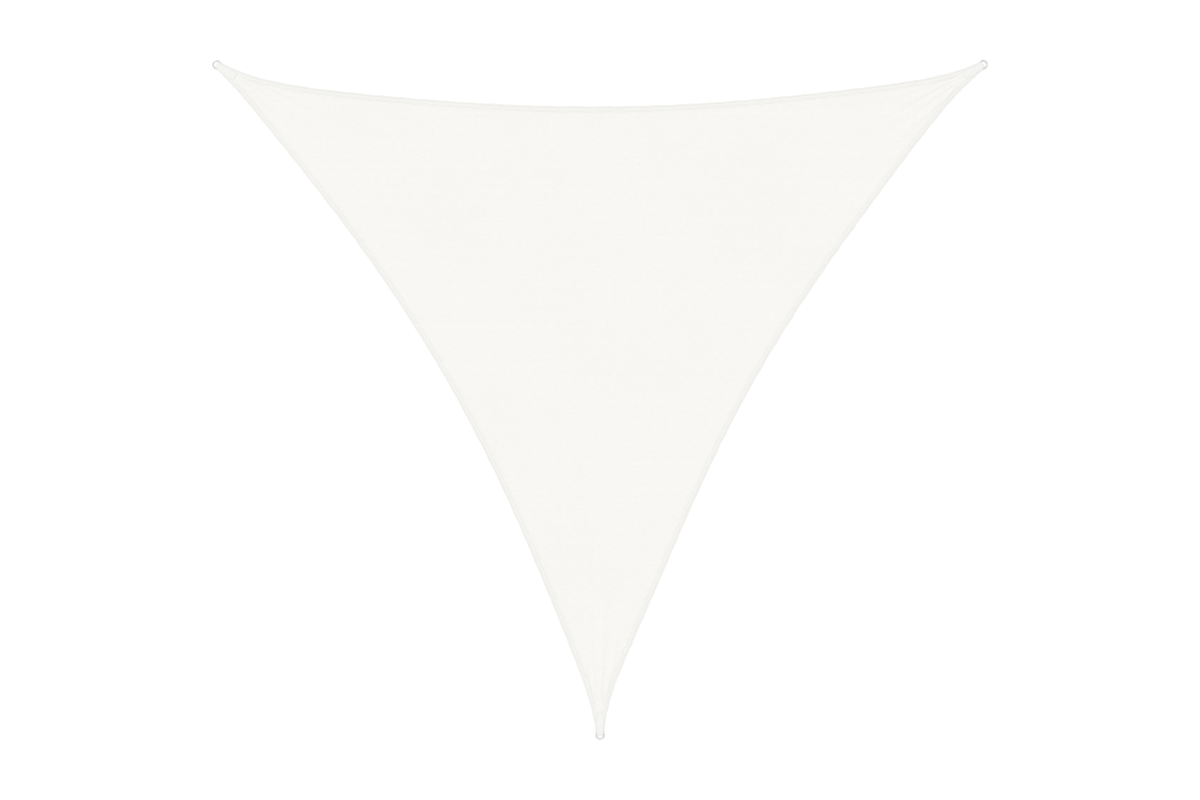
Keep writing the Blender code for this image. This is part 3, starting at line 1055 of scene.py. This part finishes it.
def cloth_material():
    """Return warm white knitted cloth, a little greyer at its hems and gathered corners."""
    sail = bpy.context.scene.sail_cloth
    material, tree, shader = new_material("knitted_shade_cloth")
    place = own_place(tree)
    knit = use_group(tree, "knit", Vector=place, Wale=sail.wale, Course=sail.course)
    distance = mark(tree, "hem_distance")
    hem = vary(tree, distance, HEM_WIDTH, HEM_WIDTH + 0.0012, 1.0, 0.0)
    colour = blend_colours(tree, hem, (*sail.field_colour, 1.0), (*sail.hem_colour, 1.0))
    # Slow clouds, rows of the knit and slubs in them, painted shade in the knit's holes and beside
    # the hem
    shade = product(
        tree,
        mottled(tree, place, 1.6, 0.006),
        mottled(tree, stretched(tree, place, (0.35, 46.0, 1.0)), 1.0, 0.006),
        mottled(tree, stretched(tree, place, (38.0, 125.0, 1.0)), 1.0, 0.016),
        vary(tree, knit["Gap"], 0.0, 1.0, 1.0, 0.93),
        vary(tree, distance, HEM_WIDTH, 0.05, 0.992, 1.0),
    )
    # Painted shade along each of the hem's sewn lines
    for line in HEM_LINES:
        aside = compute(tree, "ABSOLUTE", compute(tree, "SUBTRACT", distance, line.offset))
        sunk = vary(tree, aside, 0.3 * line.half_width, 1.3 * line.half_width, line.shade, 1.0)
        shade = product(tree, shade, sunk)
    # The relief: the knit, a soft crumple, and the stitches' pull on the hem
    crumple = add_node(tree, "TexNoise", Vector=place, Scale=34.0, Detail=3.0).outputs[0]
    pull = product(tree, mark(tree, "hem_run"), 2 * math.pi / PULL_WAVE)
    pull = product(tree, compute(tree, "SINE", pull), vary(tree, distance, 0.018, 0.032, 1.0, 0.0))
    height = product(tree, knit["Height"], 0.00028)
    height = compute(tree, "MULTIPLY_ADD", crumple, 0.0005, height)
    height = compute(tree, "MULTIPLY_ADD", pull, 0.00012, height)
    set_inputs(shader, Base_Color=shaded(tree, colour, shade),
               Roughness=vary(tree, knit["Height"], 0.0, 1.0, 0.92, 0.74),
               Normal=bumped(tree, height, 1.0, 0.8), Sheen_Weight=0.12,
               Sheen_Roughness=0.5, Specular_IOR_Level=0.25)
    return material


def thread_material():
    """Return sewing thread with its twist, made once for the hems and the webbing."""
    if "bonded_thread" in bpy.data.materials:
        return bpy.data.materials["bonded_thread"]
    material, tree, shader = new_material("bonded_thread")
    place = own_place(tree)
    colour = (*bpy.context.scene.sail_thread.colour, 1.0)
    twist = add_node(tree, "TexWave", [("bands_direction", "DIAGONAL")], Vector=place,
                     Scale=420.0, Distortion=0.6).outputs[1]
    set_inputs(shader, Base_Color=shaded(tree, colour, mottled(tree, place, 9.0, 0.05)),
               Roughness=vary(tree, twist, 0.0, 1.0, 0.62, 0.48),
               Normal=bumped(tree, twist, 0.0001, 0.7))
    return material


def webbing_material():
    """Return woven webbing with painted shade in the hollows of its weave, darker at its sealed
    ends.
    """
    webbing = bpy.context.scene.sail_webbing
    material, tree, shader = new_material("woven_webbing")
    own = mark(tree, "strap_place", "Vector")
    place = add_node(tree, "SeparateXYZ", Vector=own).outputs
    across = compute(tree, "DIVIDE", place["Y"], webbing.rib)
    parity = product(tree, compute(tree, "FLOOR", across), math.pi)
    along = compute(tree, "ADD", place["X"], place["Z"])
    turn = compute(tree, "MULTIPLY_ADD", along, 2 * math.pi / webbing.pick, parity)
    pick = compute(tree, "MULTIPLY_ADD", compute(tree, "SINE", turn), 0.5, 0.5)
    raised = product(tree, humps(tree, across), compute(tree, "MULTIPLY_ADD", pick, 0.5, 0.5))
    tail_end = STRAP_REACH + STRAP_TAIL
    # Painted shade in the weave's hollows, a slow mottle, darker towards the ring, and the sealed
    # end
    shade = product(
        tree,
        vary(tree, raised, 0.0, 0.7, 0.74, 1.03),
        mottled(tree, own, 24.0, 0.012),
        vary(tree, place["X"], 0.02, 0.08, 0.965, 1.0),
        vary(tree, place["X"], tail_end - 0.0018, tail_end, 1.0, 0.84),
    )
    fibres = add_node(tree, "TexNoise", Vector=stretched(tree, own, (300.0, 3000.0, 1500.0)),
                      Scale=1.0, Detail=2.0).outputs[0]
    height = compute(tree, "MULTIPLY_ADD", fibres, 0.25, raised)
    set_inputs(shader, Base_Color=shaded(tree, (*webbing.colour, 1.0), shade),
               Roughness=vary(tree, raised, 0.0, 1.0, 0.85, 0.6),
               Normal=bumped(tree, height, 0.00015, 0.6), Sheen_Weight=0.1)
    return material


def steel_material():
    """Return polished stainless wire with fine scratches."""
    ring = bpy.context.scene.sail_ring
    material, tree, shader = new_material("polished_stainless")
    place = own_place(tree)
    tone = mottled(tree, place, 90.0, 0.02)
    scratches = add_node(tree, "TexNoise", Vector=stretched(tree, place, (900.0, 260.0, 900.0)),
                         Scale=1.0, Detail=3.0).outputs[0]
    set_inputs(shader, Base_Color=shaded(tree, (*ring.colour, 1.0), tone), Metallic=1.0,
               Roughness=vary(tree, scratches, 0.3, 0.7,
                              ring.roughness - 0.03, ring.roughness + 0.04),
               Normal=bumped(tree, scratches, 0.00002, 0.4))
    return material


# ---------------------------------------------------------------- ground, light and camera

# The floor lies just under the cloth
GROUND_LEVEL = -0.0004
GROUND_STEPS = 8

# Shares of the sky's light at the horizon and overhead, and how bright the camera sees it
SKY_LOW = 0.72
SKY_HIGH = 1.13
SKY_SEEN = 1.05
KEY_FROM = (-0.5, 0.5, 1.0)
KEY_SPREAD = math.radians(24)
VIEW_CENTRE = (0.0, -0.001)
VIEW_END = 500.0


def make_ground(stage):
    """Lay a plain pale floor under the sail."""
    mesh = bmesh.new()
    bmesh.ops.create_grid(mesh, x_segments=GROUND_STEPS, y_segments=GROUND_STEPS,
                          size=stage.ground_size / 2)
    data = bpy.data.meshes.new("ground")
    mesh.to_mesh(data)
    mesh.free()
    material, _, shader = new_material("pale_floor")
    colour = (*stage.ground_colour, 1.0)
    set_inputs(shader, Base_Color=colour, Emission_Color=colour,
               Emission_Strength=stage.ground_glow, Roughness=1.0, Specular_IOR_Level=0.0)
    data.materials.append(material)
    ground = add_object("ground", data)
    ground.location.z = GROUND_LEVEL


def make_light(stage):
    """Light the scene from all round, brighter from above, with a soft key at the upper left."""
    world = bpy.data.worlds.new("studio")
    world.use_nodes = True
    tree = world.node_tree
    direction = add_node(tree, "TexCoord").outputs["Generated"]
    height = add_node(tree, "SeparateXYZ", Vector=direction).outputs["Z"]
    sky = vary(tree, height, 0.0, 1.0, stage.sky_light * SKY_LOW, stage.sky_light * SKY_HIGH)
    seen = add_node(tree, "LightPath").outputs["Is Camera Ray"]
    set_inputs(tree.nodes["Background"], Color=(1.0, 1.0, 1.0, 1.0),
               Strength=vary(tree, seen, 0.0, 1.0, sky, SKY_SEEN))
    bpy.context.scene.world = world
    lamp = bpy.data.lights.new("key", "SUN")
    lamp.energy = stage.sun_light
    lamp.angle = KEY_SPREAD
    key = add_object("key", lamp)
    key.rotation_euler = Vector(KEY_FROM).to_track_quat("Z", "Y").to_euler()


def make_camera(stage):
    """Look straight down on the middle of the sail."""
    lens = bpy.data.cameras.new("camera")
    lens.lens = stage.lens
    lens.clip_end = VIEW_END
    camera = add_object("camera", lens)
    camera.location = (*VIEW_CENTRE, stage.view_width * stage.lens / lens.sensor_width)
    bpy.context.scene.camera = camera


# ---------------------------------------------------------------- operators


class SAIL_OT_make_cloth(bpy.types.Operator):
    """Make the knitted cloth with its hems and gathered corners"""

    bl_idname = "sail.make_cloth"
    bl_label = "Make Cloth"

    def execute(self, context):
        cloth = cloth_piece(cloth_material())
        return {"FINISHED"}


class SAIL_OT_sew_hems(bpy.types.Operator):
    """Sew two rows of stitches along each hem"""

    bl_idname = "sail.sew_hems"
    bl_label = "Sew Hems"

    def execute(self, context):
        material = thread_material()
        for index in range(3):
            hem_stitches(index, material)
        return {"FINISHED"}


class SAIL_OT_make_webbing(bpy.types.Operator):
    """Make the webbing loops and sew them to the corners"""

    bl_idname = "sail.make_webbing"
    bl_label = "Make Webbing"

    def execute(self, context):
        material = webbing_material()
        thread = thread_material()
        for corner in CORNERS:
            loop, length = strap_piece(corner, material)
            stitches = strap_stitches(corner, thread)
        return {"FINISHED"}


class SAIL_OT_make_rings(bpy.types.Operator):
    """Make the D-rings of round wire"""

    bl_idname = "sail.make_rings"
    bl_label = "Make Rings"

    def execute(self, context):
        material = steel_material()
        for corner in CORNERS:
            ring_piece(corner, material)
        return {"FINISHED"}


class SAIL_OT_make_stage(bpy.types.Operator):
    """Make the ground, the light and the camera"""

    bl_idname = "sail.make_stage"
    bl_label = "Make Stage"

    def execute(self, context):
        stage = context.scene.sail_stage
        make_ground(stage)
        make_light(stage)
        make_camera(stage)
        context.scene.view_settings.view_transform = "Standard"
        return {"FINISHED"}


class SAIL_PT_sidebar(bpy.types.Panel):
    """List the sail's pieces and their sizes"""

    bl_idname = "SAIL_PT_sidebar"
    bl_label = "Shade Sail"
    bl_space_type = "VIEW_3D"
    bl_region_type = "UI"
    bl_category = "Sail"

    def draw(self, context):
        for operator in OPERATORS:
            self.layout.operator(operator.bl_idname)
        for name, group in GROUPS.items():
            box = self.layout.box()
            box.label(text=group.__doc__)
            for field in group.__annotations__:
                box.prop(getattr(context.scene, name), field)


GROUPS = {
    "sail_cloth": SailCloth,
    "sail_thread": SailThread,
    "sail_webbing": SailWebbing,
    "sail_ring": SailRing,
    "sail_stage": SailStage,
}
OPERATORS = (
    SAIL_OT_make_cloth,
    SAIL_OT_sew_hems,
    SAIL_OT_make_webbing,
    SAIL_OT_make_rings,
    SAIL_OT_make_stage,
)


def register():
    """Register the settings, the operators and the panel."""
    for name, group in GROUPS.items():
        bpy.utils.register_class(group)
        setattr(bpy.types.Scene, name, PointerProperty(type=group))
    for operator in OPERATORS:
        bpy.utils.register_class(operator)
    bpy.utils.register_class(SAIL_PT_sidebar)


def unregister():
    """Take the panel, the operators and the settings out again."""
    bpy.utils.unregister_class(SAIL_PT_sidebar)
    for operator in reversed(OPERATORS):
        bpy.utils.unregister_class(operator)
    for name, group in GROUPS.items():
        delattr(bpy.types.Scene, name)
        bpy.utils.unregister_class(group)


def main():
    """Build the sail and its stage."""
    register()
    bpy.ops.sail.make_cloth()
    bpy.ops.sail.sew_hems()
    bpy.ops.sail.make_webbing()
    bpy.ops.sail.make_rings()
    bpy.ops.sail.make_stage()


if __name__ == "__main__":
    main()
